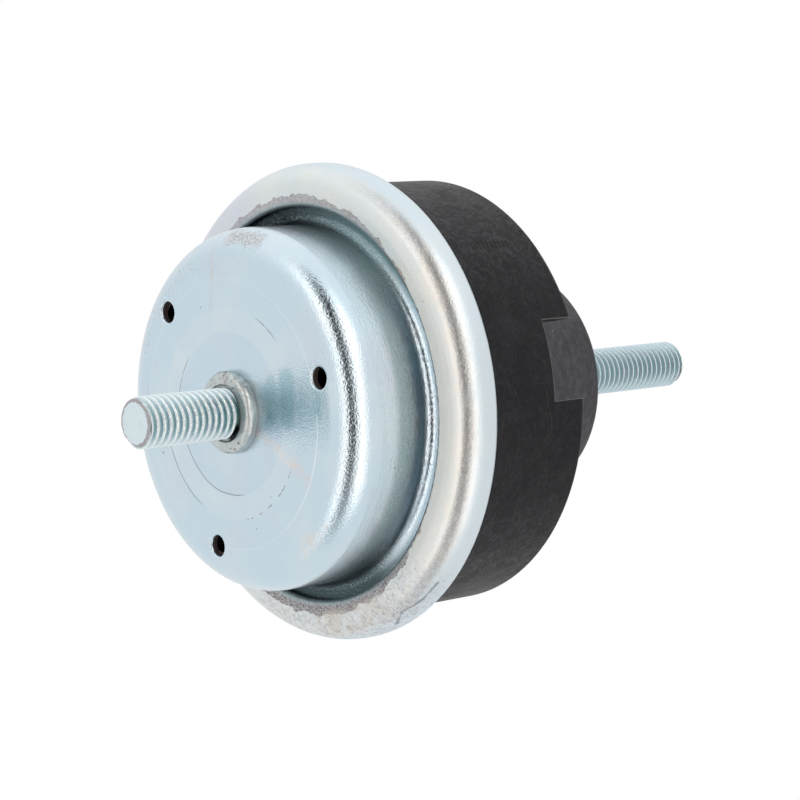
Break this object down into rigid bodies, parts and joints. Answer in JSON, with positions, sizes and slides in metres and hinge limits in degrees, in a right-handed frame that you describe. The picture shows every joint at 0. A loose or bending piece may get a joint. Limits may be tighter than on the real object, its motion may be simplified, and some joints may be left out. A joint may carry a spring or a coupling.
{
  "type": "hydraulic engine mount",
  "caption": "Fluid-filled engine mount: zinc-plated steel cup and crimped ring on a conical rubber spring, with a threaded stud on the body side and on the engine side.",
  "frame": {"origin": "centre of the cup's flat seat face, where the base stud stands out of it", "axes": "+Z along the mount's axis, from the cup's seat face towards the engine stud; -Y points out through the notch in the rubber collar that the picture shows"},
  "size_m": [0.095, 0.095, 0.1475],
  "materials": {
    "cup_zinc": "bright zinc plating with a blue passivation, scuffed round the seat",
    "ring_zinc": "zinc plating, scratched and stained by the crimping tool",
    "base_stud_zinc": "zinc-plated rolled thread",
    "top_stud_steel": "zinc-plated rolled thread",
    "insert_steel": "grey phosphated steel",
    "core_aluminium": "die cast, machined on the seat face",
    "spring_rubber": "black moulded natural rubber, satin, with a dull bloom on the cone",
    "diaphragm_rubber": "matt black",
    "plate_aluminium": "die cast",
    "decoupler_rubber": "matt black"
  },
  "bodies": {
    "root": {"base_cup": "cup_zinc", "base_stud": "base_stud_zinc", "crimp_ring": "ring_zinc", "spring_insert": "insert_steel", "core": "core_aluminium", "top_stud": "top_stud_steel", "main_spring": "spring_rubber", "diaphragm": "diaphragm_rubber", "diaphragm_ring": "insert_steel", "lower_channel_plate": "plate_aluminium", "upper_channel_plate": "plate_aluminium", "decoupler": "decoupler_rubber"}
  },
  "joints": []
}
